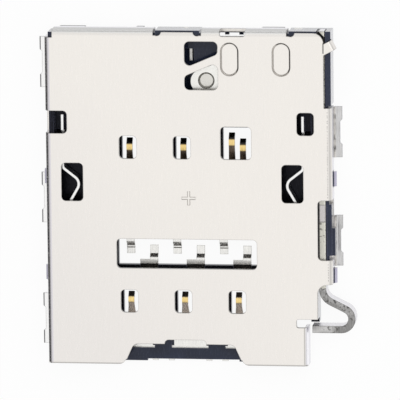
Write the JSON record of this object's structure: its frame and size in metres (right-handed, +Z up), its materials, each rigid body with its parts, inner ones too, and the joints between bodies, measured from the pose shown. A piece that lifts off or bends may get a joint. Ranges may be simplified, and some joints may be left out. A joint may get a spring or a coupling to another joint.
{
  "type": "sim card socket",
  "caption": "Low board socket for a nano SIM tray: folded steel shell over a moulded base, spring contacts, side retention springs, and a hooked push rod that swings an eject lever.",
  "frame": {"origin": "on the board plane, below the middle of the shell's cover plate", "axes": "+Z up from the board, +Y from the tray mouth to the rear wall, +X to the side of the push rod"},
  "size_m": [0.0149, 0.0158, 0.0014],
  "materials": {
    "shell_steel": "bright plated, satin",
    "housing_plastic": "moulded, fine grain",
    "contact_alloy": "plated, gold on the tips",
    "spring_steel": "bright strip",
    "rod_steel": "satin strip",
    "lever_steel": "stamped, satin"
  },
  "bodies": {
    "socket": {"shell": "shell_steel", "housing": "housing_plastic", "contact_rear_left": "contact_alloy", "contact_rear_middle": "contact_alloy", "contact_rear_right": "contact_alloy", "contact_front_left": "contact_alloy", "contact_front_middle": "contact_alloy", "contact_front_right": "contact_alloy", "retention_spring_left": "spring_steel", "retention_spring_right": "spring_steel", "detect_terminal": "contact_alloy", "detect_spring": "contact_alloy"},
    "rod": {"push_rod": "rod_steel"},
    "lever": {"eject_lever": "lever_steel"}
  },
  "joints": [
    {"name": "rod_slide", "type": "slide", "parent": "socket", "child": "rod", "axis": [0, -1, 0], "range_m": [0, 0.0015]},
    {"name": "lever_swing", "type": "hinge", "parent": "socket", "child": "lever", "pos_m": [0.00343, 0.00631, 0.00085], "axis": [0, 0, 1], "range_deg": [-31, 0]}
  ],
  "couplings": [
    {"joint": "lever_swing", "follows": "rod_slide", "rad_per_m": -359.72}
  ]
}
